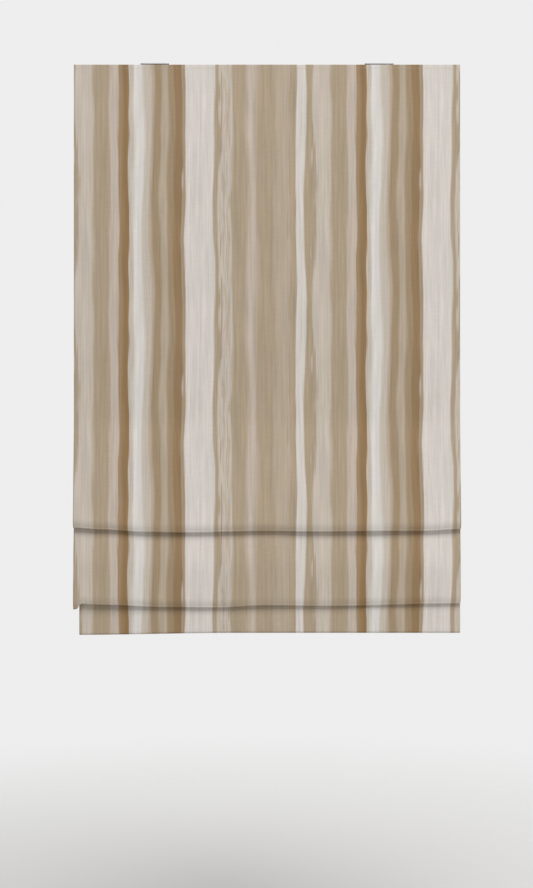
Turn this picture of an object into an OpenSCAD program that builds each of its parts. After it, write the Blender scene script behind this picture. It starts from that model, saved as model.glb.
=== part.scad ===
// Flat Roman shade on a headrail, partly raised, so that two folds hang at its foot.
// Millimetres. X runs along the headrail, Y from the room towards the window, Z up.
// The origin is midway between the two ceiling screws, on the ceiling plane.

/* [Cloth] */
// Finished width of the cloth
shade_w = 772; // [600:1:1000]
// Height of the cloth as it hangs, from its top edge to its bottom edge
hang_h = 1136; // [1040:1:1400]
// Height from the lower lip up to the upper lip
step_h = 150; // [130:1:180]
// Height from the bottom edge up to the lower lip
tail_h = 54; // [48:1:80]
// Depth of a fold, from its lip up to the rod behind it
fold_d = 78; // [64:1:92]
// Thickness of the face fabric
face_t = 0.8; // [0.5:0.1:1.2]
// Thickness of the lining
lining_t = 0.6; // [0.4:0.1:0.9]
// Space between two layers of cloth
cloth_gap = 0.3; // [0.2:0.1:0.5]
// Radius of the cloth at a lip
lip_r = 5; // [4:0.5:8]
// Radius of the cloth where it turns down over a rod
crest_r = 2.6; // [2:0.1:4]
// Width of the side hems, turned to the back
side_hem_w = 40; // [25:1:55]
// Height of the bottom hem
hem_h = 40; // [36:1:46]

/* [Headrail] */
// Depth of the channel, from front to back
rail_d = 34; // [33:0.5:42]
// Height of the channel
rail_h = 30; // [30:0.5:38]
// Wall of the channel
rail_wall = 1.4; // [1.2:0.1:1.8]
// Width of the open slot along the top of the channel
rail_slot = 20; // [19:0.5:22]
// Space between the ceiling and the channel
rail_drop = 5; // [5:0.5:9]
// How far the headrail stops short of the cloth at each side
rail_inset = 3; // [0:0.5:12]
// Thickness of an end cap
cap_t = 2.5; // [2:0.1:4]
// Thickness of the hook tape and of the loop tape
tape_t = 1.2; // [1:0.1:1.8]
// Height of both tapes
tape_h = 20; // [16:1:25]

/* [Brackets] */
// Distance between the two ceiling screws
bracket_span = 480; // [440:1:520]
// Diameter of a screw hole
screw_d = 5; // [4:0.1:6]
// Thickness of a bracket plate
bracket_t = 1.6; // [1.4:0.1:2]
// Distance from a screw hole to the cam pivot beside it
pivot_reach = 30; // [26:1:36]
// Length of the lever, from its pivot to its tip
lever_l = 29; // [25:1:34]

/* [Lift] */
// Distance from each side of the cloth to the outer cords
cord_inset = 70; // [60:1:80]
// Diameter of a lift cord
cord_d = 1.4; // [1.2:0.1:1.6]
// Across flats of the hexagon shaft
shaft_af = 5; // [4:0.1:5.4]
// Radius of the spool under the cord
spool_r = 8; // [7.4:0.1:8.4]
// Radius of the spool flanges
flange_r = 11; // [10.8:0.1:11.4]
// Length of a spool, between its hubs
spool_l = 26; // [24:0.5:32]
// Inner radius of the spring cassette
spring_r = 11.6; // [11:0.1:12]

/* [Stiffeners] */
// Diameter of a stiffening rod
rod_d = 4; // [3:0.1:5]
// How far a rod pocket stops short of the cloth at each side
pocket_inset = 10; // [6:0.5:16]
// Thickness of the pocket tape
pocket_t = 0.5; // [0.4:0.1:0.8]
// Height of the sewn flange below a pocket
pocket_flange = 10; // [8:0.5:14]
// Outer diameter of a ring
ring_d = 10; // [9:0.1:10.6]
// Thickness of a ring
ring_t = 1.8; // [1.4:0.1:2.2]
// Height of the bottom bar
bar_h = 25; // [22:0.5:28]
// Thickness of the bottom bar
bar_t = 4; // [3:0.1:4.4]
// Space between the bottom bar's end and the side of the cloth
bar_inset = 14; // [5:0.5:20]

/* [Hidden] */
$fn = 48;
// running clearance between parts that turn
run_c = 0.08;
// clearance between parts that lie beside each other
lie_c = 0.3;
// clearance of parts that are pressed or slid on to each other
press_c = 0.02;
// how far a cut reaches past the face that it opens
cut_e = 1;
// heights of the cloth and the folds
top_z = -rail_drop;
foot_z = top_z - hang_h;
lip2_z = foot_z + tail_h;
lip1_z = lip2_z + step_h;
rod_pitch = step_h + 2 * fold_d;
rod_z = [
    lip1_z + step_h + fold_d + rod_pitch,
    lip1_z + step_h + fold_d,
    lip1_z + fold_d,
    lip2_z + fold_d
];
// where a tier starts to swing forward: below the second rod, and above the upper lip
swing1_z = rod_z[1] - 44;
swing2_z = lip1_z + 22;
// the hem closes behind the bar, and its seam lies above that, just below the ends of the side hems
hem_close_z = foot_z + hem_h - 7;
hem_bend_z = foot_z + hem_h - 2;
hem_seam_z = foot_z + hem_h + 5;
strip_end_z = hem_seam_z + 2;
lining_end_z = foot_z + hem_h - 1;
// depths of the cloth: the back of the face fabric is the path that the layers follow
back_y = -(rail_d / 2 + 2 * tape_t + lining_t + cloth_gap);
mid_y = back_y - 2 * crest_r;
front_y = mid_y - 2 * lip_r;
lining_o = cloth_gap;
hem_o = lining_o + lining_t + cloth_gap;
pocket_o = hem_o + face_t + lie_c;
rod_play = 0.4;
pocket_r = rod_d / 2 + rod_play + pocket_t;
rod_y = back_y + pocket_o + pocket_r;
stop_y = rod_y + pocket_r;
cord_y = stop_y + lie_c + ring_d / 2;
hem_r = (stop_y - face_t - back_y) / 2;
// channel
rail_l = shade_w - 2 * (rail_inset + cap_t);
rail_z = -rail_drop - rail_h;
web_z = rail_z + rail_wall;
in_d = rail_d - 2 * rail_wall;
rail_corner = 1.2;
// tapes, clear of the side hems and of the top edge
tape_gap = 3;
tape_l = shade_w - 2 * (side_hem_w + tape_gap);
tape_z = top_z - tape_gap - tape_h;
// lift
pivot_x = bracket_span / 2 - pivot_reach;
cord_x = shade_w / 2 - cord_inset;
wrap_r = spool_r + lie_c + cord_d / 2;
axis_y = cord_y + wrap_r;
base_t = 2;
axis_z = web_z + base_t + 0.6 + flange_r;
hub_r = 4;
hex_c = 0.2;
rim_t = 1.5;
wall_t = 2.5;
cradle_l = spool_l + 2 * lie_c + 2 * wall_t;
// the cradle's spout leads the cord through the channel
spout_r = 2.9;
spout_c = 0.2;
spout_bore_r = 1.8;
spout_drop = 1.5;
// spring cassette
spring_x = -(cradle_l / 2 + pivot_x - in_d / 2) / 2;
spring_w = 12;
case_wall = 1;
case_end_t = 2;
cover_t = 1.8;
// brackets
plate_w = 30;
plate_end = 14;
plate_corner = 5;
lever_r = 8.6;
tip_r = 4.5;
boss_r = lever_r - 0.8;
key_l = in_d - 3;
key_w = 2 * lever_r - 5;
key_t = 2.6;
key_z = -rail_drop - rail_wall - lie_c;
pin_r = 2.5;
// hem
bar_z = foot_z + hem_r + bar_h / 2 - 1.5;
hem_ring_z = foot_z + hem_h - 9;
bead_h = 13;
bead_z = hem_ring_z - ring_t / 2 - lie_c - bead_h;

// Shared shapes

// stretches a section, drawn as depth and height, along X about x
module along(length, x = 0) {
    translate([x, 0, 0])
        rotate([90, 0, 90])
            linear_extrude(height = length, center = true)
                children();
}

// rectangle with round corners, from its lower left corner
module round_rect(w, h, r) {
    translate([r, 0]) square([w - 2 * r, h]);
    translate([0, r]) square([w, h - 2 * r]);
    for (x = [r, w - r], y = [r, h - r])
        translate([x, y]) circle(r);
}

// bar with two half-round ends, centred, along Y
module stadium(length, width) {
    square([width, length - width], center = true);
    for (s = [-1, 1])
        translate([0, s * (length - width) / 2]) circle(width / 2);
}

// round bar along X about x
module bar_x(r, length, x = 0) {
    translate([x, 0, 0])
        rotate([0, 90, 0])
            cylinder(h = length, r = r, center = true);
}

module hex_x(af, length, x = 0) {
    translate([x, 0, 0])
        rotate([0, 90, 0])
            cylinder(h = length, d = af / cos(30), center = true, $fn = 6);
}

module on_axis() {
    translate([0, axis_y, axis_z]) children();
}

// Path of the cloth, as depth and height

function ease(t) = t * t * (3 - 2 * t);

function arc(y, z, r, from, to, n) =
    [for (i = [0:n]) let (a = from + (to - from) * i / n) [y + r * cos(a), z + r * sin(a)]];

function swing(y0, y1, z0, z1, n) =
    [for (i = [0:n]) [y0 + (y1 - y0) * ease(i / n), z0 + (z1 - z0) * i / n]];

// one tier: forward to the front layer, round the lip, up to the crest and over it
function tier(from_z, lip_z, crest_z) = concat(
    swing(back_y, front_y, from_z, lip_z + fold_d / 2, 14),
    arc(front_y + lip_r, lip_z + lip_r, lip_r, 180, 360, 12),
    arc(mid_y + crest_r, crest_z, crest_r, 180, 0, 8)
);

upper_path = concat(
    [[back_y, top_z]],
    tier(swing1_z, lip1_z, rod_z[2]),
    tier(swing2_z, lip2_z, rod_z[3])
);

// inner layers stop above the hem
function short_path(end_z) = concat(upper_path, [[back_y, end_z]]);

// the face goes on round the bottom bar and up the back to the hem seam
face_path = concat(
    upper_path,
    arc(back_y + hem_r, foot_z + hem_r + face_t, hem_r, 180, 360, 14),
    [[back_y + 2 * hem_r, hem_close_z], [back_y + hem_o + 0.1, hem_bend_z], [back_y + hem_o, hem_seam_z]]
);

function unit(v) = v / norm(v);

function side_of(p, i) =
    let (a = p[max(i - 1, 0)], b = p[min(i + 1, len(p) - 1)], d = unit(b - a)) [-d[1], d[0]];

// the same path moved sideways, towards the back of the cloth
function moved(p, o) =
    [for (i = [0:len(p) - 1]) p[i] + o * side_of(p, i)];

function flipped(p) = [for (i = [len(p) - 1:-1:0]) p[i]];

module layer(p, o1, o2) {
    polygon(concat(moved(p, o1), flipped(moved(p, o2))));
}

// Headrail

module rail_section() {
    translate([-rail_d / 2, rail_z])
        round_rect(rail_d, rail_h, rail_corner);
}

module headrail_channel() {
    color("white")
        difference() {
            along(rail_l)
                difference() {
                    rail_section();
                    translate([-in_d / 2, web_z])
                        square([in_d, rail_h - 2 * rail_wall]);
                    translate([-rail_slot / 2, web_z + rail_h / 2])
                        square([rail_slot, rail_h]);
                }
            for (x = [-cord_x, 0, cord_x])
                translate([x, cord_y, rail_z - cut_e])
                    cylinder(h = rail_wall + 2 * cut_e, r = spout_r + spout_c);
        }
}

module end_cap(s) {
    plug_l = 9;
    plug_in = 2.4;
    plug_h = rail_h - 2 * rail_wall - 2 * lie_c;
    color("white") {
        along(cap_t, s * (rail_l + cap_t) / 2)
            rail_section();
        along(plug_l, s * (rail_l - plug_l) / 2)
            difference() {
                translate([-in_d / 2 + lie_c, web_z + lie_c])
                    square([in_d - 2 * lie_c, plug_h]);
                translate([-in_d / 2 + plug_in, web_z + plug_in])
                    square([in_d - 2 * plug_in, plug_h]);
            }
    }
}

// the hook tape lies on the channel, the loop tape in front of it
module tape(place) {
    along(tape_l)
        translate([-rail_d / 2 - place * tape_t, tape_z])
            square([tape_t, tape_h]);
}

module hook_tape() {
    color("whitesmoke") tape(1);
}

module loop_tape() {
    color("ivory") tape(2);
}

// Brackets with their twist-lock cams

module bracket(s) {
    plate_l = pivot_reach + 2 * plate_end;
    color("gainsboro")
        difference() {
            translate([s * (bracket_span / 2 - pivot_reach / 2), 0, -bracket_t])
                linear_extrude(height = bracket_t)
                    translate([-plate_l / 2, -plate_w / 2])
                        round_rect(plate_l, plate_w, plate_corner);
            translate([s * bracket_span / 2, 0, -bracket_t - cut_e])
                cylinder(h = bracket_t + 2 * cut_e, d = screw_d);
            translate([s * pivot_x, 0, -bracket_t - cut_e])
                cylinder(h = bracket_t + 2 * cut_e, r = pin_r + press_c);
        }
}

module bracket_cam(s) {
    lever_z = -rail_drop + lie_c;
    color("silver")
        translate([s * pivot_x, 0, 0])
            difference() {
                union() {
                    translate([0, 0, lever_z])
                        linear_extrude(height = -bracket_t - lie_c - lever_z) {
                            circle(lever_r);
                            translate([-tip_r, 0]) square([2 * tip_r, lever_l - tip_r]);
                            translate([0, lever_l - tip_r]) circle(tip_r);
                        }
                    translate([0, 0, key_z - key_t])
                        cylinder(h = lever_z + 0.5 - key_z + key_t, r = boss_r);
                    translate([0, 0, key_z - key_t])
                        linear_extrude(height = key_t)
                            stadium(key_l, key_w);
                }
                translate([0, 0, key_z - key_t - cut_e])
                    cylinder(h = -key_z + key_t + 2 * cut_e, r = pin_r + run_c);
            }
}

module bracket_rivet(s) {
    head_t = 1.2;
    head_r = pin_r + 2;
    low_z = key_z - key_t - run_c;
    color("dimgray")
        translate([s * pivot_x, 0, low_z - head_t]) {
            cylinder(h = head_t - low_z, r = pin_r);
            cylinder(h = head_t, r = head_r);
        }
}

// Lift

module cradle(x) {
    side_y = in_d / 2 - lie_c;
    front_reach = 11;
    wall_h = axis_z + 6 - web_z;
    snap_w = 2 * hub_r - 0.8;
    color("lightgray")
        difference() {
            union() {
                along(cradle_l, x)
                    translate([-side_y, web_z])
                        square([2 * side_y, base_t]);
                for (s = [-1, 1])
                    along(wall_t, x + s * (cradle_l - wall_t) / 2)
                        translate([axis_y - front_reach, web_z])
                            square([side_y - axis_y + front_reach, wall_h]);
                translate([x, cord_y, rail_z - spout_drop])
                    cylinder(h = rail_wall + spout_drop + 0.5, r = spout_r);
            }
            on_axis() {
                bar_x(hub_r + run_c, cradle_l + cut_e, x);
                translate([x, 0, wall_h / 2])
                    cube([cradle_l + cut_e, snap_w, wall_h], center = true);
            }
            translate([x, cord_y, rail_z - spout_drop - cut_e])
                cylinder(h = rail_wall + spout_drop + base_t + 2 * cut_e, r = spout_bore_r);
        }
}

module spool(x) {
    color("whitesmoke")
        on_axis()
            difference() {
                union() {
                    bar_x(spool_r, spool_l, x);
                    for (s = [-1, 1])
                        bar_x(flange_r, rim_t, x + s * (spool_l - rim_t) / 2);
                    bar_x(hub_r, cradle_l + 2, x);
                }
                hex_x(shaft_af + hex_c, cradle_l + 2 + 2 * cut_e, x);
            }
}

// the cord wound beside the drop, from the flange up to it
module cord_turns(x) {
    pitch = 0.92 * cord_d;
    room = spool_l / 2 - rim_t - lie_c - cord_d;
    turns = floor(room / pitch);
    color("linen")
        on_axis()
            translate([x - cord_d - lie_c, 0, 0])
                rotate([0, -90, 0])
                    rotate_extrude()
                        for (i = [0:turns - 1])
                            translate([wrap_r, i * pitch]) circle(d = cord_d, $fn = 24);
}

module lift_shaft() {
    color("silver")
        on_axis()
            hex_x(shaft_af, rail_l - 2);
}

case_l = spring_w + 2 * case_end_t;
arbor_l = spring_w + 10;

module case_section() {
    case_r = spring_r + case_wall;
    translate([axis_y - case_r, web_z])
        square([2 * case_r, axis_z + case_r - web_z]);
}

module spring_case() {
    color("dimgray")
        difference() {
            along(case_l, spring_x) case_section();
            on_axis() {
                bar_x(spring_r, case_l, spring_x + case_end_t);
                bar_x(hub_r + run_c, 3 * case_l, spring_x);
            }
        }
}

module spring_cover() {
    color("gray")
        difference() {
            along(cover_t, spring_x + (case_l + cover_t) / 2) case_section();
            on_axis()
                bar_x(hub_r + run_c, 3 * case_l, spring_x);
        }
}

module spring_arbor() {
    color("whitesmoke")
        on_axis()
            difference() {
                bar_x(hub_r, arbor_l, spring_x);
                hex_x(shaft_af + hex_c, arbor_l + 2 * cut_e, spring_x);
            }
}

// flat spiral between the arbor and the case
module power_spring() {
    turns = 7;
    steps = 24 * turns;
    ribbon_t = 0.35;
    from_r = hub_r + lie_c;
    to_r = spring_r - lie_c - ribbon_t;
    spiral = [for (i = [0:steps]) let (r = from_r + (to_r - from_r) * i / steps, a = 15 * i)
        [r * cos(a), r * sin(a)]];
    outer = [for (i = [0:steps]) let (r = from_r + ribbon_t + (to_r - from_r) * i / steps, a = 15 * i)
        [r * cos(a), r * sin(a)]];
    color("slategray")
        on_axis()
            along(spring_w - 2 * lie_c, spring_x)
                polygon(concat(spiral, flipped(outer)));
}

// Cloth

module face_fabric() {
    strip_path = short_path(strip_end_z);
    color("tan") {
        along(shade_w)
            layer(face_path, -face_t, 0);
        for (s = [-1, 1]) {
            along(side_hem_w, s * (shade_w - side_hem_w) / 2)
                layer(strip_path, hem_o, hem_o + face_t);
            along(face_t, s * (shade_w - face_t) / 2)
                layer(strip_path, -face_t / 2, hem_o + face_t);
        }
    }
}

module lining() {
    color("ivory")
        along(shade_w - 2 * face_t - 2 * lie_c)
            layer(short_path(lining_end_z), lining_o, lining_o + lining_t);
}

module rod_pocket(i) {
    z = rod_z[i - 1];
    flange_y = back_y + pocket_o;
    color("ivory")
        along(shade_w - 2 * pocket_inset)
            difference() {
                union() {
                    translate([rod_y, z]) circle(pocket_r);
                    translate([flange_y, z - pocket_r - pocket_flange])
                        square([pocket_t, pocket_flange + pocket_r]);
                }
                translate([rod_y, z]) circle(pocket_r - pocket_t);
            }
}

// a rod stops inside its pocket, and its tips reach a little past it
tip_l = 8;
tip_over = 1.5;
rod_l = shade_w - 2 * pocket_inset - 8;

module rod(i) {
    color("lightyellow")
        translate([0, rod_y, rod_z[i - 1]])
            bar_x(rod_d / 2, rod_l);
}

module rod_tips(i) {
    tip_wall = 0.25;
    color("white")
        translate([0, rod_y, rod_z[i - 1]])
            for (s = [-1, 1])
                difference() {
                    bar_x(rod_d / 2 + tip_wall, tip_l, s * (rod_l - tip_l + 2 * tip_over) / 2);
                    bar_x(rod_d / 2 + press_c, rod_l);
                }
}

module ring(x, z) {
    translate([x, cord_y, z])
        rotate_extrude()
            translate([(ring_d - ring_t) / 2, 0]) circle(d = ring_t, $fn = 24);
}

module rings(i) {
    color("white")
        for (x = [-cord_x, 0, cord_x]) ring(x, rod_z[i - 1]);
}

module hem_rings() {
    color("white")
        for (x = [-cord_x, 0, cord_x]) ring(x, hem_ring_z);
}

module lift_cord(x) {
    end_z = bead_z + 3;
    color("linen")
        translate([x, cord_y, end_z])
            cylinder(h = axis_z - end_z, d = cord_d);
}

module cord_adjuster(x) {
    color("white")
        translate([x, cord_y, bead_z])
            difference() {
                rotate_extrude()
                    polygon([[0, 0], [2.2, 0], [3, 1.5], [3, bead_h - 3], [1.9, bead_h], [0, bead_h]]);
                translate([0, 0, 3 - lie_c])
                    cylinder(h = bead_h, d = cord_d + 0.2);
            }
}

// the bar stops inside its caps
bar_l = shade_w - 2 * bar_inset;
cap_end = 2;

module bar_section(grow) {
    translate([back_y + hem_r, bar_z])
        stadium(bar_h + 2 * grow, bar_t + 2 * grow);
}

module bottom_bar() {
    color("silver")
        along(bar_l - 2 * cap_end) bar_section(0);
}

module bar_cap(s) {
    sleeve_l = 14;
    sleeve_t = 0.7;
    color("white")
        difference() {
            along(sleeve_l, s * (bar_l - sleeve_l) / 2) bar_section(sleeve_t);
            along(bar_l - 2 * cap_end) bar_section(press_c);
        }
}

headrail_channel();
end_cap(-1);  // end_cap_left
end_cap(1);  // end_cap_right
bracket(-1);  // bracket_left
bracket(1);  // bracket_right
bracket_cam(-1);  // bracket_cam_left
bracket_cam(1);  // bracket_cam_right
bracket_rivet(-1);  // bracket_rivet_left
bracket_rivet(1);  // bracket_rivet_right
hook_tape();
loop_tape();
cradle(-cord_x);  // cradle_left
cradle(0);  // cradle_centre
cradle(cord_x);  // cradle_right
spool(-cord_x);  // spool_left
spool(0);  // spool_centre
spool(cord_x);  // spool_right
cord_turns(-cord_x);  // cord_turns_left
cord_turns(0);  // cord_turns_centre
cord_turns(cord_x);  // cord_turns_right
lift_shaft();
spring_case();
spring_cover();
spring_arbor();
power_spring();
face_fabric();
lining();
rod_pocket(1);  // rod_pocket_1
rod_pocket(2);  // rod_pocket_2
rod_pocket(3);  // rod_pocket_3
rod_pocket(4);  // rod_pocket_4
rod(1);  // rod_1
rod(2);  // rod_2
rod(3);  // rod_3
rod(4);  // rod_4
rod_tips(1);  // rod_tips_1
rod_tips(2);  // rod_tips_2
rod_tips(3);  // rod_tips_3
rod_tips(4);  // rod_tips_4
rings(1);  // rings_1
rings(2);  // rings_2
rings(3);  // rings_3
rings(4);  // rings_4
hem_rings();
lift_cord(-cord_x);  // lift_cord_left
lift_cord(0);  // lift_cord_centre
lift_cord(cord_x);  // lift_cord_right
cord_adjuster(-cord_x);  // cord_adjuster_left
cord_adjuster(0);  // cord_adjuster_centre
cord_adjuster(cord_x);  // cord_adjuster_right
bottom_bar();
bar_cap(-1);  // bar_cap_left
bar_cap(1);  // bar_cap_right
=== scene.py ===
import functools
import math

import bpy
import numpy as np
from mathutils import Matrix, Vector


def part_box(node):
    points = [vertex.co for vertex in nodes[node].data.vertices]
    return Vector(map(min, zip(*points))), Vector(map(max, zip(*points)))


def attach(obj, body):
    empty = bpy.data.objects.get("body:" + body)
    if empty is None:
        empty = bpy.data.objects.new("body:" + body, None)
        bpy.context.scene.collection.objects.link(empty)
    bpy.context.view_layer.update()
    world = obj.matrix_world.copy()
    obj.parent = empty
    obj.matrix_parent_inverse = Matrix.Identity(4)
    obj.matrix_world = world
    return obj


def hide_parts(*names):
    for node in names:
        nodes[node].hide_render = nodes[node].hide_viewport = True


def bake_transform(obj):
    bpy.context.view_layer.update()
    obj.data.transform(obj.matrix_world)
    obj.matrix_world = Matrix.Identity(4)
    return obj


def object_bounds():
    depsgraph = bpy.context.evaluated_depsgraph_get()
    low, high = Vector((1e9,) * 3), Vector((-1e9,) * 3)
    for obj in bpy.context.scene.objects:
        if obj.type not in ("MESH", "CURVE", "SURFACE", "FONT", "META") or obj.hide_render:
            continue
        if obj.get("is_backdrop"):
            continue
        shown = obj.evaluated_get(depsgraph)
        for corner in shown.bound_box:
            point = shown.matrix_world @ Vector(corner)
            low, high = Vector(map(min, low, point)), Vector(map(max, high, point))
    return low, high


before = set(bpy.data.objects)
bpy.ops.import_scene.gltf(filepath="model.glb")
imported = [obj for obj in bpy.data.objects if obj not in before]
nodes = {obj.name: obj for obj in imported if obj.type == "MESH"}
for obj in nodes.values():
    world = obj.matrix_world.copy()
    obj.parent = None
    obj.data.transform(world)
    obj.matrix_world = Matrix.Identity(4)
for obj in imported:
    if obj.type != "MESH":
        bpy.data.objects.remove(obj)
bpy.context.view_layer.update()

mm = 0.001
maths, vectorMaths, noiseTexture = "ShaderNodeMath", "ShaderNodeVectorMath", "ShaderNodeTexNoise"
sides = ("left", "centre", "right")


def boxMm(node):
    low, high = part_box(node)
    return np.array(low) * 1000, np.array(high) * 1000


def middleMm(node):
    low, high = boxMm(node)
    return (low + high) / 2


def ease(t):
    t = np.clip(t, 0, 1)
    return t * t * (3 - 2 * t)


def through(x, points):  # smooth line through (place, value) points
    places, values = np.array(points, float).T
    x = np.clip(x, places[0], places[-1])
    spot = np.clip(np.searchsorted(places, x) - 1, 0, len(places) - 2)
    t = (x - places[spot]) / (places[spot + 1] - places[spot])
    return values[spot] + (values[spot + 1] - values[spot]) * ease(t)


def lengthAlong(path):  # distance from the start at each point of a path
    return np.concatenate([[0], np.cumsum(np.linalg.norm(np.diff(path, axis=0), axis=1))])


def hexLinear(code):
    parts = [int(code[i:i + 2], 16) / 255 for i in (0, 2, 4)]
    return tuple(c / 12.92 if c <= 0.04045 else ((c + 0.055) / 1.055) ** 2.4 for c in parts) + (1.0,)


def addNode(tree, kind, inputs=(), **settings):  # one node with its settings and links
    made = tree.nodes.new(kind)
    for key, value in settings.items():
        setattr(made, key, value)
    for key, value in inputs.items() if isinstance(inputs, dict) else enumerate(inputs):
        if isinstance(value, bpy.types.Node):
            value = value.outputs[0]
        if isinstance(value, bpy.types.NodeSocket):
            tree.links.new(value, made.inputs[key])
        else:
            made.inputs[key].default_value = value
    return made


def startMaterial(name, **sockets):
    made = bpy.data.materials.new(name)
    made.use_nodes = True
    shader = made.node_tree.nodes["Principled BSDF"]
    for key, value in sockets.items():
        shader.inputs[key.replace("_", " ")].default_value = value
    return made, shader, functools.partial(addNode, made.node_tree)


def joinShader(made, shader, **sockets):
    for key, value in sockets.items():
        made.node_tree.links.new(value.outputs[0], shader.inputs[key.replace("_", " ")])


def swung(add, base, noise, amount):  # a value that a noise moves to either side
    shift = add(maths, (noise, amount, -amount / 2), operation="MULTIPLY_ADD")
    return add(maths, (shift, base), operation="ADD")


def wovenBump(add, weave, pitch, slub, depth):  # threads that pass over and under each other
    thread = add(vectorMaths, (weave, (1000 * math.pi / pitch,) * 3), operation="MULTIPLY")
    over = add("ShaderNodeSeparateXYZ", (add(vectorMaths, (thread,), operation="SINE"),)).outputs
    height = add(maths, (over[0], over[1], slub), operation="MULTIPLY_ADD")
    return add("ShaderNodeBump", {"Height": height, "Distance": depth * mm, "Strength": 0.5})


# Printed linen: matt, with brushed stripes that soak into the threads, so edges are soft and streaky
stripes = {
    "repeatAlong": 412.0,  # mm down the cloth after which the print repeats
    "startAcross": 72.0,  # mm from the cloth's left edge to the first band
    "brushes": {  # noise: width and length of its marks in mm, shift, detail
        "slow": (30.0, 120.0, 3.0, 0.0),
        "streak": (8.0, 100.0, 41.0, 0.6),
        "hair": (1.6, 60.0, 87.0, 1.0),
        "grain": (3.4, 110.0, 130.0, 2.0),
        "dry": (4.0, 75.0, 190.0, 1.0),
    },
    "weftMarks": (38.0, 590.0, 0.0),  # slubs of the weft, per metre across and down
    "edgeWander": {"slow": 12.0, "streak": 6.0, "hair": 4.0},  # mm that a noise moves the bands' edges
    "toneShares": {"grain": 0.34, "streak": 0.16, "weft": 0.14, "hair": 0.14},  # lighter and darker
    "streakTint": (0.10, 0.07, 0.13),  # some streaks lean to pink, others to green
    "dryDrag": 40.0,  # mm that a dry brush drags the colours
    "dryPlaces": [(229, 15), (344, 22), (403, 10)],  # middle and half width where the brush runs dry
    "sways": [(408, 14, 5.5, 4.8)],  # an edge that swings once a repeat: middle, half width, amount, turn
    "lens": (142.0, 230.0, 2.6, 26.0),  # a bare spot: across, down, half width, half length
    "lensFade": (1.1, 0.45, 0.5),  # its outer and inner edge in those halves, and how bare it is
    "threadPitch": 1.5,  # real threads are about 0.5 mm apart, drawn coarser so that they show
    "threadDepth": 0.12,
    "wrongSide": "D6D0C8",
    "wrongShare": 0.55,  # share of the print that doesn't come through to the wrong side
    "softEdge": 5.0,
    "otherEdges": {0: 2.5, 2: 2.0, 10: 3.0, 11: 2.5, 12: 3.5, 13: 3.0, 17: 12.0, 18: 12.0, 19: 9.0,
                   21: 3.0, 22: 3.0, 24: 6.0},  # band: softness of its right edge
    "softMost": 0.8,  # share of a band that its softness may take
    "colours": {
        "cream": "D3CCC5", "bright": "D8D3CD", "oat": "C3B8AB", "paleSand": "C1B3A6", "khaki": "AB9A83",
        "dryKhaki": "B4A592", "tan": "9E8A6F", "warmTan": "A4917A", "brownTan": "9D8466",
        "brown": "93795A", "darkBrown": "927653",
    },
    "bands": [  # width in mm and colour
        (17, "paleSand"), (7, "brownTan"), (12, "darkBrown"), (8, "oat"), (21, "bright"), (15, "oat"),
        (5, "dryKhaki"), (16, "tan"), (14, "dryKhaki"), (12, "tan"), (14, "brown"), (9, "warmTan"),
        (57, "cream"), (9, "khaki"), (13, "oat"), (3, "dryKhaki"), (12, "oat"), (30, "khaki"),
        (17, "paleSand"), (36, "khaki"), (33, "dryKhaki"), (11, "khaki"), (18, "cream"), (19, "khaki"),
        (32, "oat"), (35, "khaki"),
    ],
    "splitAt": 12,  # one ramp can't hold all bands, so a second one starts here
}


def bandMarks(first, last):  # places and colours for a ramp over some bands, soft where two bands meet
    bands, count = stripes["bands"], len(stripes["bands"])
    tint = [np.array(hexLinear(stripes["colours"][bands[i % count][1]])) for i in range(-1, count + 1)]
    marks, at = [(0.0, (tint[first] + tint[first + 1]) / 2)], 0.0
    for i in range(first, last):
        width = bands[i][0]
        edges = [stripes["otherEdges"].get(n % count, stripes["softEdge"]) for n in (i - 1, i)]
        soft = [min(edge, stripes["softMost"] * width) / 2 for edge in edges]
        marks += [(at + soft[0], tint[i + 1]), (at + width - soft[1], tint[i + 1])]
        at += width
    return marks + [(at, (tint[last] + tint[last + 1]) / 2)]


def bandColours(add, place, first, last):
    marks = bandMarks(first, last)
    start, length = sum(width for width, _ in stripes["bands"][:first]), marks[-1][0]
    share = add(maths, (place, 1 / length, -start / length), operation="MULTIPLY_ADD")
    ramp = add("ShaderNodeValToRGB", (share,))
    stops = ramp.color_ramp.elements
    stops[0].color, stops[1].color = marks[0][1], marks[-1][1]
    for spot, colour in marks[1:-1]:
        stops.new(spot / length).color = colour
    return ramp


# A lens-shaped spot that the brush left out, which wanders with its band
def bareSpot(add, plain, down, slow):
    across, along, halfWide, halfLong = stripes["lens"]
    outer, inner, most = stripes["lensFade"]
    wander = stripes["edgeWander"]["slow"]
    fromX = add(maths, (slow, wander / halfWide, -(wander / 2 + across) / halfWide), operation="MULTIPLY_ADD")
    fromX = add(maths, (plain, 1 / halfWide, fromX), operation="MULTIPLY_ADD")
    fall = add(maths, (down, 1000.0), operation="MULTIPLY")
    fall = add(maths, (fall, stripes["repeatAlong"], 0.0), operation="WRAP")
    fromY = add(maths, (fall, 1 / halfLong, -along / halfLong), operation="MULTIPLY_ADD")
    apart = add(vectorMaths, (add("ShaderNodeCombineXYZ", (fromX, fromY)),), operation="LENGTH")
    return add("ShaderNodeMapRange", (apart.outputs["Value"], outer, inner, 0.0, most))


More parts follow.
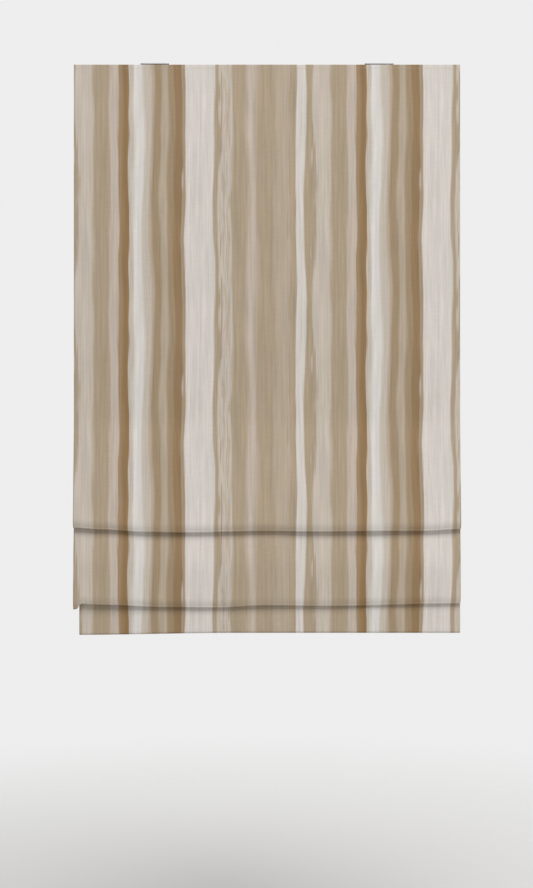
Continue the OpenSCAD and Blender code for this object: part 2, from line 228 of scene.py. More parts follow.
def stripedCloth(name, paleShare=0.0):
    made, shader, add = startMaterial(name, Roughness=0.92, Sheen_Weight=0.06, Specular_IOR_Level=0.2)
    bands, split, around = stripes["bands"], stripes["splitAt"], stripes["repeatAlong"]
    whole, splitPlace = (float(sum(width for width, _ in part)) for part in (bands, bands[:split]))
    flat = add("ShaderNodeSeparateXYZ", (add("ShaderNodeUVMap", uv_map="print"),)).outputs
    plain = add(maths, (flat[0], 1000.0, -stripes["startAcross"]), operation="MULTIPLY_ADD")
    plain = add(maths, (plain, whole, 0.0), operation="WRAP")
    turn = add(maths, (flat[1], 2000 * math.pi / around), operation="MULTIPLY")
    ring = [add(maths, (add(maths, (turn,), operation=way), around / (2 * math.pi)), operation="MULTIPLY")
            for way in ("COSINE", "SINE")]  # noise taken round a ring repeats without a seam
    spot = add("ShaderNodeCombineXYZ", (plain, *ring))
    noises = {}
    for key, (wide, long, shift, detail) in stripes["brushes"].items():
        place = add(vectorMaths, (spot, (1 / wide, 1 / long, 1 / long), (shift, 0, 0)),
                    operation="MULTIPLY_ADD")
        noises[key] = add(noiseTexture, {"Vector": place, "Scale": 1.0, "Detail": detail})
    weave = add("ShaderNodeUVMap", uv_map="weave")
    place = add(vectorMaths, (weave, stripes["weftMarks"]), operation="MULTIPLY")
    noises["weft"] = add(noiseTexture, {"Vector": place, "Scale": 1.0})

    def nearTo(middle, outer, inner, most):  # grows to most as a place across comes near
        away = add(maths, (add(maths, (plain, float(middle)), operation="SUBTRACT"),), operation="ABSOLUTE")
        return add("ShaderNodeMapRange", (away, outer, inner, 0.0, most))

    # brush noise moves the place at which the bands are looked up
    moved = plain
    for key, amount in stripes["edgeWander"].items():
        moved = swung(add, moved, noises[key], amount)
    drag = add(maths, (noises["dry"], stripes["dryDrag"], -stripes["dryDrag"] / 2), operation="MULTIPLY_ADD")
    for middle, width in stripes["dryPlaces"]:
        near = nearTo(middle, width, width / 2, 1.0)
        moved = add(maths, (near, drag, moved), operation="MULTIPLY_ADD")
    for middle, width, amount, phase in stripes["sways"]:
        swing = add(maths, (add(maths, (turn, phase), operation="SUBTRACT"),), operation="COSINE")
        near = nearTo(middle, width, 0.0, -amount)
        moved = add(maths, (near, swing, moved), operation="MULTIPLY_ADD")
    moved = add(maths, (moved, whole, 0.0), operation="WRAP")
    later = add(maths, (moved, splitPlace), operation="GREATER_THAN")
    printed = add("ShaderNodeMix", {0: later, 6: bandColours(add, moved, 0, split),
                                    7: bandColours(add, moved, split, len(bands))}, data_type="RGBA")
    bare = bareSpot(add, plain, flat[1], noises["slow"])
    cream = hexLinear(stripes["colours"]["cream"])
    spotted = add("ShaderNodeMix", {0: bare, 6: printed.outputs[2], 7: cream}, data_type="RGBA")
    tone = 1.0
    for key, share in stripes["toneShares"].items():
        tone = swung(add, tone, noises[key], share)
    colour = add(vectorMaths, {0: spotted.outputs[2], "Scale": tone}, operation="SCALE")
    tint = stripes["streakTint"]
    lean = add(vectorMaths, (noises["grain"].outputs["Color"], tint, tuple(1 - t / 2 for t in tint)),
               operation="MULTIPLY_ADD")
    colour = add(vectorMaths, (colour, lean), operation="MULTIPLY")
    if paleShare:  # the wrong side, where the print shows through weakly
        pale = np.array(hexLinear(stripes["wrongSide"])[:3]) * paleShare
        colour = add(vectorMaths, (colour, (1 - paleShare,) * 3, tuple(pale)), operation="MULTIPLY_ADD")
    bump = wovenBump(add, weave, stripes["threadPitch"], noises["weft"], stripes["threadDepth"])
    joinShader(made, shader, Base_Color=colour, Normal=bump)
    return made


# Plain cloths: colour, thread spacing in mm (coarser than real, so that it shows), tone share, thread depth
# in mm and sheen
plainCloths = {
    "cottonSateenLining": ("DDD6C9", 0.9, 0.08, 0.06, 0.12),  # smooth and faintly lustrous, with fine slubs
    "cottonTwillTape": ("E2DCD0", 1.1, 0.12, 0.10, 0.06),  # matt, with threads that show
    "loopPile": ("E9E6DF", 1.6, 0.26, 0.50, 0.30),  # fuzzy nylon loops
    "hookNylon": ("EDEBE6", 1.9, 0.20, 0.40, 0.0),  # rows of stiff hooks
}


def plainCloth(name):
    colour, pitch, share, depth, sheen = plainCloths[name]
    made, shader, add = startMaterial(name, Roughness=0.9, Sheen_Weight=sheen, Specular_IOR_Level=0.25)
    weave = add("ShaderNodeUVMap", uv_map="weave")
    weftSlub, warpSlub, cloud = (18 * pitch, 1.2 * pitch), (1.2 * pitch, 22 * pitch), (90.0, 120.0)
    tone, noises = 1.0, []
    for wide, long in (weftSlub, warpSlub, cloud):
        place = add(vectorMaths, (weave, (1000 / wide, 1000 / long, 0.0)), operation="MULTIPLY")
        noises.append(add(noiseTexture, {"Vector": place, "Scale": 1.0}))
        tone = swung(add, tone, noises[-1], share)
    tinted = add(vectorMaths, {0: hexLinear(colour)[:3], "Scale": tone}, operation="SCALE")
    joinShader(made, shader, Base_Color=tinted, Normal=wovenBump(add, weave, pitch, noises[0], depth))
    return made


# Braided polyester: strands cross in a fine diamond pattern, drawn coarser than the real 1 mm lay; its tone
# is painted shade, darker in the grooves between strands
braid = {"colour": "E7E2D7", "lay": 2.4, "depth": 0.15, "tone": 0.10}


def braidedCord():
    made, shader, add = startMaterial("braidedPolyester", Roughness=0.75, Sheen_Weight=0.1)
    place = add("ShaderNodeSeparateXYZ", (add("ShaderNodeUVMap", uv_map="weave"),)).outputs
    aroundCord = add(maths, (place[0], 4 * math.pi), operation="MULTIPLY")
    perMetre = 2000 * math.pi / braid["lay"]
    strands = []
    for way in (-1, 1):
        angle = add(maths, (place[1], way * perMetre, aroundCord), operation="MULTIPLY_ADD")
        strands.append(add(maths, (angle,), operation="SINE"))
    strand = add(maths, strands, operation="MULTIPLY")
    # painted shade: the cord is darker where a strand dips, following the bump's height
    tone = add(maths, (strand, braid["tone"], 1 - braid["tone"]), operation="MULTIPLY_ADD")
    tinted = add(vectorMaths, {0: hexLinear(braid["colour"])[:3], "Scale": tone}, operation="SCALE")
    bump = add("ShaderNodeBump", {"Height": strand, "Distance": braid["depth"] * mm, "Strength": 0.8})
    joinShader(made, shader, Base_Color=tinted, Normal=bump)
    return made


# Hard finishes: colour, metallic, roughness, grain in mm along X, Y and Z, tone share, roughness share and
# depth in mm
hardFinishes = {
    # sprayed and baked: satin, with a fine orange peel
    "whitePowderCoat": ("E6E5E1", 0.0, 0.40, (1.6, 1.6, 1.6), 0.04, 0.14, 0.05),
    # moulded: waxy, with faint flow marks
    "whiteAcetal": ("ECEAE4", 0.0, 0.42, (3.0, 3.0, 3.0), 0.04, 0.14, 0.02),
    # moulded: dull, with fibre flecks
    "greyGlassFilledNylon": ("5A5C5E", 0.0, 0.55, (0.8, 0.8, 3.0), 0.20, 0.18, 0.04),
    # pressed and plated: greyish, slightly cloudy
    "zincPlatedSteel": ("A4A7A9", 1.0, 0.46, (5.0, 1.5, 1.5), 0.16, 0.20, 0.01),
    # rolled strip with a blue temper
    "blueSpringSteel": ("7C8590", 1.0, 0.28, (0.6, 6.0, 6.0), 0.14, 0.16, 0.01),
    # extruded: drawn lines along its length
    "extrudedAluminium": ("C9CACB", 1.0, 0.36, (60.0, 0.6, 0.6), 0.12, 0.18, 0.01),
    # pulled through a die: pale, with fibres lengthwise
    "pultrudedFibreglass": ("E9E6CF", 0.0, 0.45, (40.0, 0.5, 0.5), 0.12, 0.12, 0.01),
    # twisted: slightly glossy
    "polyesterThread": ("CFC4B4", 0.0, 0.70, (0.9, 0.9, 0.9), 0.20, 0.10, 0.04),
}
clouds = {"scale": 22.0, "tone": 0.6}  # on every hard finish: per metre, share of the grain's tone


def hardFinish(name):
    colour, metal, rough, grainMm, toneShare, roughShare, depth = hardFinishes[name]
    made, shader, add = startMaterial(name, Metallic=metal)
    spot = add("ShaderNodeTexCoord").outputs["Object"]
    noises = []
    for scale in (tuple(1000 / g for g in grainMm), (clouds["scale"],) * 3):
        place = add(vectorMaths, (spot, scale), operation="MULTIPLY")
        noises.append(add(noiseTexture, {"Vector": place, "Scale": 1.0, "Detail": 3.0}))
    grain, cloud = noises
    darkest = 1 - (1 + clouds["tone"]) / 2 * toneShare
    tone = add(maths, (grain, toneShare, darkest), operation="MULTIPLY_ADD")
    tone = add(maths, (cloud, clouds["tone"] * toneShare, tone), operation="MULTIPLY_ADD")
    tinted = add(vectorMaths, {0: hexLinear(colour)[:3], "Scale": tone}, operation="SCALE")
    joinShader(made, shader, Base_Color=tinted,
               Roughness=add(maths, (grain, roughShare, rough - roughShare / 2), operation="MULTIPLY_ADD"),
               Normal=add("ShaderNodeBump", {"Height": grain, "Distance": depth * mm, "Strength": 0.4}))
    return made


materials = {name: plainCloth(name) for name in plainCloths}
materials.update({name: hardFinish(name) for name in hardFinishes})
materials["printedLinen"] = stripedCloth("printedLinen")
materials["linenWrongSide"] = stripedCloth("linenWrongSide", stripes["wrongShare"])
materials["braidedPolyester"] = braidedCord()
print("materials made:", len(materials))


# Mesh helpers, in millimetres

def meshPiece(name, points, faces, used, faceSlots=None, uvs=None):
    mesh = bpy.data.meshes.new(name)
    mesh.from_pydata((np.asarray(points, float) * mm).tolist(), [], faces)
    for material in used:
        mesh.materials.append(material)
    if faceSlots is not None:
        mesh.polygons.foreach_set("material_index", np.asarray(faceSlots, np.int32))
    corner = np.zeros(len(mesh.loops), np.int32)
    mesh.loops.foreach_get("vertex_index", corner)
    for layer, values in (uvs or {}).items():
        data = mesh.uv_layers.new(name=layer).data
        data.foreach_set("uv", (np.asarray(values, float)[corner] * mm).astype(np.float32).ravel())
    mesh.polygons.foreach_set("use_smooth", np.ones(len(mesh.polygons), bool))
    mesh.update()
    made = bpy.data.objects.new(name, mesh)
    bpy.context.scene.collection.objects.link(made)
    return made


def gridFaces(rowCount, columnCount, start=0, flip=False):
    spot = np.arange(rowCount * columnCount).reshape(rowCount, columnCount) + start
    quads = np.stack([spot[:-1, :-1], spot[1:, :-1], spot[1:, 1:], spot[:-1, 1:]], -1).reshape(-1, 4)
    return quads[:, ::-1] if flip else quads


# A sheet with thickness from its middle, which is rows by columns of points
def closedSheet(name, middle, thickness, uvs, used):
    rowCount, columnCount = middle.shape[:2]
    normal = np.cross(np.gradient(middle, axis=0), np.gradient(middle, axis=1))
    normal /= np.maximum(np.linalg.norm(normal, axis=2, keepdims=True), 1e-9)
    points = np.concatenate([(middle + way * normal * thickness / 2).reshape(-1, 3) for way in (1, -1)])
    count = rowCount * columnCount
    front, back = gridFaces(rowCount, columnCount), gridFaces(rowCount, columnCount, count, True)
    spot = np.arange(count).reshape(rowCount, columnCount)
    edge = np.concatenate([spot[0, :-1], spot[:-1, -1], spot[-1, :0:-1], spot[:0:-1, 0]])
    after = np.roll(edge, -1)
    faces = np.concatenate([front, back, np.stack([edge, after, after + count, edge + count], -1)])
    slots = np.zeros(len(faces), int)
    slots[len(front):len(front) + len(back)] = len(used) - 1
    doubled = {layer: np.concatenate([values.reshape(-1, 2)] * 2) for layer, values in uvs.items()}
    return meshPiece(name, points, faces.tolist(), used, slots, doubled)


def tubePiece(name, path, radius, corners, material):  # UV: share of the way round and back, length along
    path = np.asarray(path, float)
    along = np.gradient(path, axis=0)
    along /= np.linalg.norm(along, axis=1, keepdims=True)
    side = np.cross(along[0], (0.0, 0.0, 1.0) if abs(along[0][2]) < 0.9 else (1.0, 0.0, 0.0))
    angle = np.linspace(0, 2 * math.pi, corners, endpoint=False)
    points, faces = [], []
    for place, direction in zip(path, along):
        side = side - direction * (side @ direction)
        side = side / np.linalg.norm(side)
        other = np.cross(direction, side)
        points.append(place + radius * (np.outer(np.cos(angle), side) + np.outer(np.sin(angle), other)))
    for i in range(len(path) - 1):
        low, high = i * corners, (i + 1) * corners
        for k in range(corners):
            after = (k + 1) % corners
            faces.append((low + k, low + after, high + after, high + k))
    last = (len(path) - 1) * corners
    faces += [tuple(range(corners))[::-1], tuple(range(last, last + corners))]
    share = np.abs(np.linspace(-1, 1, corners, endpoint=False)) * 1000
    uv = np.stack([np.tile(share, len(path)), np.repeat(lengthAlong(path), corners)], -1)
    return meshPiece(name, np.concatenate(points), faces, [material], None, {"weave": uv})


# Cloth: one path in depth and height, which the face and the lining both follow
cloth = {
    "faceThickness": 0.8,
    "liningThickness": 0.6,
    "layerGap": 0.3,
    "lipRadii": {"upper": 5.0, "lower": 3.2},  # the lower fold is pressed flatter
    "lipDrop": 2.4,  # how far a lip's roll reaches down
    "crestRadius": 2.6,
    "crestRoom": (4.4, 6.0),  # a tier passes so far in front of and above its own crest
    "foldDepth": 78.0,
    "rollDepths": {"upper": 3.0, "lower": 2.6},  # how far the cloth curves back above a lip
    "rollReach": 16.0,
    "softBend": 12.0,
    "upperStart": 12.0,  # the upper tier leaves the back so far below the second rod
    "lowerStart": 30.0,  # and the lower tier so far above the upper lip
    "sideHem": 40.0,
    "sideBow": 1.4,  # room for the turn into a side hem
    "liningInset": 4.0,
    "hemSeam": 45.0,
    "hemBack": 2.1,  # back layer of the hem, behind the side hems
    "hemRises": (33.0, 38.0, 41.0),  # heights at which that layer comes from the bar to the seam
    "hemStrip": (56.0, 8.0),  # below this height the side hems go flat, over this length
    "hemGap": 0.05,
    "rippleDepth": 0.8,
    "swell": ((83, 0.6), (190, 0.4)),  # mm per radian and start, across and down
    "ripples": [(0.6, 47, 260, 0.0), (0.35, 29, -140, 1.3)],  # share, mm per radian across and down, start
    "dents": [(0.2, 61, 40), (0.12, 23, 17)],  # the same, where a lip is pressed more
    "rippleStart": (40.0, 150.0),  # ripples set in so far below the top, over this length
    "rodHold": (15.0, 70.0),  # a rod holds the cloth straight so far, and ripples return over this length
    "tierRipples": {"upper": 1.0, "lower": 0.3},
    "tailInset": 11.0,  # the lowest tier stands in at its left side
    "tailReach": 40.0,  # over this width
    "tailStart": 100.0,  # its own shape sets in over this length below the last rod
    "topEdge": 0.6,  # a first narrow row, so that the edge is shaded flat
    "rowStep": 10.0,
    "tierStep": 5.0,
    "lipStep": 0.9,  # rows lie closer near a lip
    "lipRows": 20.0,
    "columnStep": 9.0,
    "edgeStep": 2.5,  # columns lie closer near the sides
    "edgeColumns": 40.0,
    "liningColumns": 60,
    "counts": {"blur": 9, "lip": 17, "rise": 15, "crest": 10, "between": 9, "tail": 26, "hem": 14,
               "strip": 6, "bow": 7},  # points in each stretch
    "upperSag": [(-386, 7.5), (-330, 4), (-240, -1), (-165, -2), (0, 1), (90, -0.3), (250, 1), (310, 1),
                 (386, 5)],
    "lowerSag": [(-386, -5), (-379, -4), (-372, 6), (-330, 4), (-200, -0.7), (-100, -1.7), (0, 2.7),
                 (110, 1.4), (386, 6.4)],
    "footSag": [(-386, -4), (-60, 0), (386, 0)],
    "lowerTuck": [(-386, -1), (-150, 1.6), (386, 2.6)],  # the lower lip lies close to the tail
}
faceLow, faceHigh = boxMm("face_fabric")
half, topZ, footZ = (faceHigh[0] - faceLow[0]) / 2, faceHigh[2], faceLow[2]
rodAt = [middleMm("rod_%d" % number) for number in (1, 2, 3, 4)]
backY = boxMm("loop_tape")[0][1] - cloth["liningThickness"] - cloth["layerGap"]
pocketBackY = boxMm("rod_pocket_1")[1][1]
midY = backY - 2 * cloth["crestRadius"]
lipOne, lipTwo = rodAt[2][2] - cloth["foldDepth"], rodAt[3][2] - cloth["foldDepth"]
hemRadius = (pocketBackY - cloth["faceThickness"] - backY) / 2
hemBottom = footZ + hemRadius + cloth["faceThickness"]
seamY = backY + cloth["hemBack"]
counts = cloth["counts"]
rows = []


def addRow(y, z, upper=0.0, lower=0.0, tail=0.0, ripple=0.0, roll=0.0, tuck=0.0):
    held, back = cloth["rodHold"]
    free = min(float(ease((abs(z - rod[2]) - held) / back)) for rod in rodAt)
    rows.append((y, z, upper, lower, tail, ripple * free, roll, tuck * lower))


def addArc(y, z, radius, fromDeg, toDeg, count, **shares):
    for a in np.radians(np.linspace(fromDeg, toDeg, count + 1)[1:]):
        addRow(y + radius * math.cos(a), z + radius * math.sin(a), **shares)


# A tier swings out from the back, rolls under at its lip and goes up to its crest
def addTier(fromZ, lipZ, crestZ, share):
    radius, drop = cloth["lipRadii"][share], cloth["lipDrop"]
    frontY, rippled, rolled = midY - 2 * radius, cloth["tierRipples"][share], cloth["rollDepths"][share]
    fall, crestRise = fromZ - lipZ - drop, crestZ - lipZ - drop
    room, clear = cloth["crestRoom"]
    bends = (0, crestRise + clear, fall), (frontY, midY - room, backY)
    blur = np.linspace(-cloth["softBend"], cloth["softBend"], counts["blur"])
    near = cloth["lipRows"]
    heights = [np.arange(fall, near, -cloth["tierStep"]), np.arange(near, 0.2, -cloth["lipStep"]), [0.0]]
    for h in np.concatenate(heights):  # height above the lip's roll
        addRow(np.interp(h + blur, *bends).mean(), lipZ + drop + h, ripple=rippled * h / fall,
               roll=rolled * max(0.0, 1 - h / cloth["rollReach"]) ** 2, tuck=float(ease(1 - h / crestRise)),
               **{share: float(ease(1 - h / fall))})
    for a in np.radians(np.linspace(180, 360, counts["lip"])[1:]):
        addRow(frontY + radius + radius * math.cos(a), lipZ + drop + drop * math.sin(a),
               roll=rolled * (1 - math.cos(a)) / 2, tuck=1.0, **{share: 1.0})
    for h in np.linspace(0, crestRise, counts["rise"])[1:]:
        addRow(midY, lipZ + drop + h, tuck=1.0, **{share: float(ease(1 - h / crestRise))})
    addArc(midY + cloth["crestRadius"], crestZ, cloth["crestRadius"], 180, 0, counts["crest"])


upperStart, lowerStart = rodAt[1][2] - cloth["upperStart"], lipOne + cloth["lowerStart"]
step = cloth["rowStep"]
rippleFrom, rippleOver = cloth["rippleStart"]
for z in [topZ, topZ - cloth["topEdge"], *np.arange(topZ - step, upperStart + step / 2, -step)]:
    addRow(backY, z, ripple=float(ease((topZ - z - rippleFrom) / rippleOver)))
addTier(upperStart, lipOne, rodAt[2][2], "upper")
for z in np.linspace(rodAt[2][2], lowerStart, counts["between"])[1:-1]:
    addRow(backY, z)
addTier(lowerStart, lipTwo, rodAt[3][2], "lower")
for z in np.linspace(rodAt[3][2], hemBottom, counts["tail"])[1:]:
    addRow(backY, z, tail=float(ease((rodAt[3][2] - z) / cloth["tailStart"])))
lastStraight = len(rows)
addArc(backY + hemRadius, hemBottom, hemRadius, 180, 360, counts["hem"], tail=1.0)
barY, (leaves, nears, meets) = backY + 2 * hemRadius, cloth["hemRises"]
for y, z in [(barY, hemBottom + step), (barY, hemBottom + 2 * step), (barY, footZ + leaves),
             (seamY + 0.2, footZ + nears), (seamY, footZ + meets), (seamY, footZ + cloth["hemSeam"])]:
    addRow(y, z, tail=1.0)
rows = np.array(rows)
rowLength = lengthAlong(rows[:, :2])


def clothPoints(x, offset):  # x and offset: rows by columns; offset is towards the back of the cloth
    y, z, upper, lower, tail, ripple, roll, tuck = (rows[:len(x), i:i + 1] for i in range(8))
    (swellAcross, startAcross), (swellDown, startDown) = cloth["swell"]
    wave = np.sin(x / swellAcross + startAcross) * np.sin(z / swellDown + startDown)
    for share, across, down, start in cloth["ripples"]:
        wave = wave + share * np.sin(x / across + z / down + start)
    uneven = 1.0
    for share, across, down in cloth["dents"]:
        uneven = uneven + share * np.sin(x / across + z / down)
    depth = (y + ripple * cloth["rippleDepth"] * wave + roll * uneven
             + tuck * through(x, cloth["lowerTuck"]))
    height = (z + upper * through(x, cloth["upperSag"]) + lower * through(x, cloth["lowerSag"])
              + tail * through(x, cloth["footSag"]))
    dy, dz = np.gradient(depth, axis=0), np.gradient(height, axis=0)
    size = np.maximum(np.hypot(dy, dz), 1e-9)
    nearLeft = np.clip(1 - (x + half) / cloth["tailReach"], 0, 1) ** 1.5
    inset = cloth["tailInset"] * ease(tail / 0.15) * nearLeft
    return np.stack([x + inset, depth - dz / size * offset, height + dy / size * offset], -1)


def faceFabric():  # both sides are turned to the back in a wide hem
    thickness = cloth["faceThickness"]
    stripOffset = cloth["layerGap"] * 2 + cloth["liningThickness"] + thickness / 2
    height, inHem = rows[:, 1], np.arange(len(rows)) >= lastStraight
    stripRise, stripOver = cloth["hemStrip"]
    closeness = np.where(inHem, 1.0, ease((footZ + stripRise - height) / stripOver) * (rows[:, 4] > 0))
    strip = (stripOffset + (thickness / 2 + cloth["hemGap"] - stripOffset) * closeness)[:, None]
    radius = (strip + thickness / 2) / 2
    centre, edge = strip - radius, half - thickness / 2 - radius
    reach, close = half - cloth["sideBow"], cloth["edgeColumns"]
    fine = np.arange(0, close, cloth["edgeStep"])
    inner = np.linspace(-reach + close, reach - close, int((2 * reach - 2 * close) / cloth["columnStep"]))
    core = np.concatenate([-reach + fine, inner, (reach - fine)[::-1]])[None, :] * edge / reach
    inward = np.linspace(cloth["sideHem"] - 2, 0, counts["strip"])[None, :-1] * np.ones_like(edge)
    bow = np.linspace(0, math.pi, counts["bow"])[None, 1:-1]
    x = np.concatenate([-edge + inward, -edge - radius * np.sin(bow), core,
                        edge + radius * np.sin(bow), edge - inward[:, ::-1]], 1)
    offset = np.concatenate([strip + 0 * inward, centre + radius * np.cos(bow), 0 * core - thickness / 2,
                             centre - radius * np.cos(bow), strip + 0 * inward], 1)
    flat = np.concatenate([-math.pi * radius - inward, radius * (bow - math.pi), core + edge,
                           2 * edge + radius * bow, 2 * edge + math.pi * radius + inward[:, ::-1]], 1)
    fall = (topZ - height)[:, None] + 0 * flat  # the print runs on across the lips, as in the photo
    along = rowLength[:, None] + 0 * flat
    return closedSheet("faceFabric", clothPoints(x, offset), thickness,
                       {"print": np.stack([flat, fall], -1), "weave": np.stack([flat, along], -1)},
                       [materials["printedLinen"], materials["linenWrongSide"]])


def liningCloth():
    last = 1 + max(i for i in range(lastStraight) if rows[i, 1] > footZ + cloth["hemSeam"] - 1)
    reach = half - cloth["liningInset"]
    x = np.linspace(-reach, reach, cloth["liningColumns"])[None, :] * np.ones((last, 1))
    offset = np.full_like(x, cloth["layerGap"] + cloth["liningThickness"] / 2)
    weave = np.stack([x, rowLength[:last, None] + 0 * x], -1)
    made = closedSheet("liningCloth", clothPoints(x, offset), cloth["liningThickness"], {"weave": weave},
                       [materials["cottonSateenLining"]])
    return made, rowLength[last - 1]


def blendWithLift(piece):
    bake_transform(piece)


face = faceFabric()
lining, liningLength = liningCloth()
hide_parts("face_fabric")
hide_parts("lining")
blendWithLift(face)
blendWithLift(lining)
print("cloth made:", len(face.data.polygons), "and", len(lining.data.polygons), "faces")


# Geometry Nodes: a tree's inputs are set by identifier, and its result becomes a plain mesh

def startTree(name, **inputs):
    tree = bpy.data.node_groups.new(name, "GeometryNodeTree")
    tree.interface.new_socket("Geometry", in_out="INPUT", socket_type="NodeSocketGeometry")
    for key, kind in inputs.items():
        tree.interface.new_socket(key, in_out="INPUT", socket_type="NodeSocket" + kind)
    tree.interface.new_socket("Geometry", in_out="OUTPUT", socket_type="NodeSocketGeometry")
    add = functools.partial(addNode, tree)
    return tree, add, add("NodeGroupInput").outputs


def endTree(add, given, instances):
    real = add("GeometryNodeRealizeInstances", (instances,))
    finished = add("GeometryNodeSetMaterial", {"Geometry": real, "Material": given["Material"]})
    add("NodeGroupOutput", (finished,))


def treePiece(name, tree, lines, **values):  # lines: lists of points in millimetres
    points, edges = [], []
    for line in lines:
        edges += [(len(points) + i, len(points) + i + 1) for i in range(len(line) - 1)]
        points += [tuple(np.asarray(p, float) * mm) for p in line]
    mesh = bpy.data.meshes.new(name)
    mesh.from_pydata(points, edges, [])
    made = bpy.data.objects.new(name, mesh)
    bpy.context.scene.collection.objects.link(made)
    modifier = made.modifiers.new(name, "NODES")
    modifier.node_group = tree
    for item in tree.interface.items_tree:
        if item.in_out == "INPUT" and item.name in values:
            modifier[item.identifier] = values[item.name]
    bpy.context.view_layer.update()
    real = bpy.data.meshes.new_from_object(made.evaluated_get(bpy.context.evaluated_depsgraph_get()))
    made.modifiers.clear()
    made.data = real
    return made


def stitchTree():  # a short thread at every step along a line
    tree, add, given = startTree("stitchRow", Pitch="Float", Length="Float", Radius="Float",
                                 Material="Material")
    curve = add("GeometryNodeMeshToCurve", (given["Geometry"],))
    steps = add("GeometryNodeCurveToPoints", {"Curve": curve, "Length": given["Pitch"]},
                mode="LENGTH").outputs
    bead = add("GeometryNodeMeshUVSphere", {"Segments": 6, "Rings": 5, "Radius": 1.0})
    smooth = add("GeometryNodeSetShadeSmooth", (bead,))
    halfLength = add(maths, (given["Length"], 0.5), operation="MULTIPLY")
    size = add("ShaderNodeCombineXYZ", (given["Radius"], given["Radius"], halfLength))
    endTree(add, given, add("GeometryNodeInstanceOnPoints", {
        "Points": steps["Points"], "Instance": smooth, "Rotation": steps["Rotation"], "Scale": size}))
    return tree


def ringTree():  # a round ring at every point
    tree, add, given = startTree("ringRow", Ring="Float", Wire="Float", Corners="Int", Turn="Vector",
                                 Material="Material")
    path = add("GeometryNodeCurvePrimitiveCircle", {"Resolution": given["Corners"], "Radius": given["Ring"]})
    wire = add("GeometryNodeCurvePrimitiveCircle", {"Resolution": 10, "Radius": given["Wire"]})
    swept = add("GeometryNodeCurveToMesh", {"Curve": path, "Profile Curve": wire})
    ring = add("GeometryNodeSetShadeSmooth", (swept,))
    points = add("GeometryNodeMeshToPoints", (given["Geometry"],))
    turn = add("FunctionNodeEulerToRotation", (given["Turn"],))
    endTree(add, given, add("GeometryNodeInstanceOnPoints", {
        "Points": points, "Instance": ring, "Rotation": turn}))
    return tree


stitchGroup, ringGroup = stitchTree(), ringTree()

# Seams of the cloth
seams = {
    "pitch": 4.2,
    "length": 3.2,
    "radius": 0.28,
    "proud": 0.05,
    "topDrop": 7.0,
    "topEnds": 3.0,
    "sideInset": 3.0,
    "sideRows": 10,  # rows above the hem at which the side seams end
    "hemRise": 42.0,
    "hemEnds": (16.0, 4.0),  # room at the left and the right end
    "points": 60,
}


def stitchRow(name, lines):
    return treePiece(name, stitchGroup, lines, Pitch=seams["pitch"] * mm, Length=seams["length"] * mm,
                     Radius=seams["radius"] * mm, Material=materials["polyesterThread"])


def acrossLine(start, end, y, z, count):
    return [(x, y, z) for x in np.linspace(start, end, count)]


def sideLine(x, offset):  # down the cloth at one place across, above the hem
    places = np.full((len(rows), 1), float(x))
    return clothPoints(places, np.full_like(places, offset))[1:lastStraight - seams["sideRows"], 0]


stripBack = 2 * cloth["layerGap"] + cloth["liningThickness"] + cloth["faceThickness"] + seams["proud"]
frontOfFace = backY - cloth["faceThickness"] - seams["proud"]
backOfHem = seamY + cloth["faceThickness"] + seams["proud"]
hemLeft, hemRight = seams["hemEnds"]
topSeam = stitchRow("topSeam", [acrossLine(seams["topEnds"] - half, half - seams["topEnds"], frontOfFace,
                                           topZ - seams["topDrop"], seams["points"])])
hemSeam = stitchRow("hemSeam", [acrossLine(hemLeft - half, half - hemRight, backOfHem,
                                           footZ + seams["hemRise"], seams["points"])])
sideSeams = stitchRow("sideSeams", [sideLine(way * (half - cloth["sideHem"] + seams["sideInset"]), stripBack)
                                    for way in (-1, 1)])
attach(topSeam, "headrail")
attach(hemSeam, "bottom_bar")
blendWithLift(sideSeams)
print("seams made")

# Rod pockets: a tape folded round each rod and sewn down below it, with rings and the threads that hold them
pocket = {
    "thickness": 0.5,
    "pucker": 0.12,
    "puckerLengths": (3.1, 11),  # mm per radian
    "columns": 95,
    "flapRows": 10,
    "wrapRows": 34,
    "wrapEnd": -150,  # degrees; the tape starts at 180, in front of its rod
    "seamRises": (2.0, 8.2),
    "seamEnds": 3.0,
    "seamPoints": 50,
    "ring": 4.1,
    "wire": 0.9,
    "ringCorners": 36,
    "loop": 1.2,
    "thread": 0.16,
    "loopCorners": 16,
    "loopGap": 0.1,
    "loopShifts": (-0.9, -0.45, 0.0, 0.45, 0.9),
}
cordX = [middleMm("lift_cord_" + side)[0] for side in sides]
cordY = middleMm("lift_cord_left")[1]


def ringRow(name, z, backOf):
    rings = treePiece(name, ringGroup, [[(x, cordY, z)] for x in cordX], Ring=pocket["ring"] * mm,
                      Wire=pocket["wire"] * mm, Corners=pocket["ringCorners"], Turn=(0.0, 0.0, 0.0),
                      Material=materials["whiteAcetal"])
    loopY = backOf + pocket["wire"] + pocket["loopGap"]
    spots = [[(x + shift, loopY, z)] for x in cordX for shift in pocket["loopShifts"]]
    threads = treePiece(name + "Thread", ringGroup, spots, Ring=pocket["loop"] * mm,
                        Wire=pocket["thread"] * mm, Corners=pocket["loopCorners"],
                        Turn=(0.0, math.pi / 2, 0.0), Material=materials["polyesterThread"])
    return rings, threads


